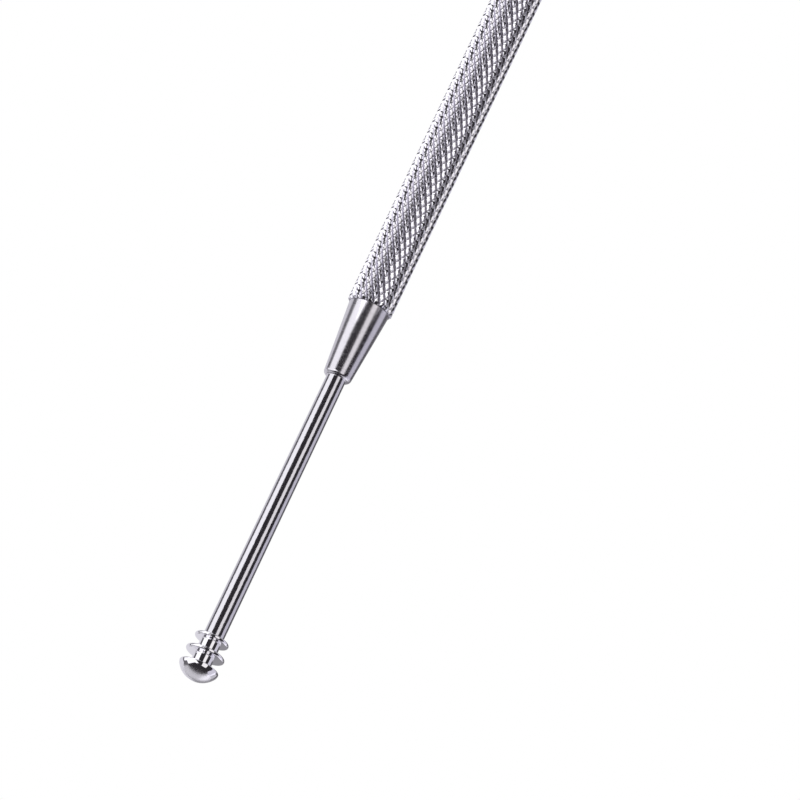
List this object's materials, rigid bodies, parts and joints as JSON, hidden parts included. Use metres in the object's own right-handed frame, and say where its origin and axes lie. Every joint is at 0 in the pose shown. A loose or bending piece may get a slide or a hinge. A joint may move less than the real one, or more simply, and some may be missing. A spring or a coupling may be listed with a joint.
{
  "type": "ear pick",
  "caption": "Hollow knurled grip with a screw-in cone socket at each end: one holds a thin shank with flanges under a domed tip, the other a shank with a small scoop, for cleaning ears.",
  "frame": {"origin": "middle of the grip, on the tool's axis", "axes": "+X along the tool towards the flanged and domed end, -X towards the scoop, +Z the way the scoop opens"},
  "size_m": [0.1262, 0.0046, 0.0046],
  "materials": {
    "knurled_steel": "satin",
    "bush_steel": "satin",
    "turned_steel": "satin",
    "polished_steel": "polished",
    "seal_rubber": "matte"
  },
  "bodies": {
    "handle": {"handle_tube": "knurled_steel", "front_thread_bush": "bush_steel", "rear_thread_bush": "bush_steel"},
    "front_seal": {"front_seal_ring": "seal_rubber"},
    "front_tip": {"front_cone_socket": "turned_steel", "front_shank": "polished_steel", "flange_head": "polished_steel"},
    "rear_seal": {"rear_seal_ring": "seal_rubber"},
    "rear_tip": {"rear_cone_socket": "turned_steel", "spoon_tip": "polished_steel"}
  },
  "joints": [
    {"name": "front_screw_travel", "type": "slide", "parent": "handle", "child": "front_seal", "axis": [1, 0, 0], "range_m": [0, 0.00495]},
    {"name": "front_screw_turn", "type": "hinge", "parent": "front_seal", "child": "front_tip", "pos_m": [0.022, 0, 0], "axis": [1, 0, 0], "range_deg": [0, 3960]},
    {"name": "rear_screw_travel", "type": "slide", "parent": "handle", "child": "rear_seal", "axis": [-1, 0, 0], "range_m": [0, 0.00495]},
    {"name": "rear_screw_turn", "type": "hinge", "parent": "rear_seal", "child": "rear_tip", "pos_m": [-0.022, 0, 0], "axis": [-1, 0, 0], "range_deg": [0, 3960]}
  ],
  "couplings": [
    {"joint": "front_screw_turn", "follows": "front_screw_travel", "rad_per_m": 13963},
    {"joint": "rear_screw_turn", "follows": "rear_screw_travel", "rad_per_m": 13963}
  ]
}
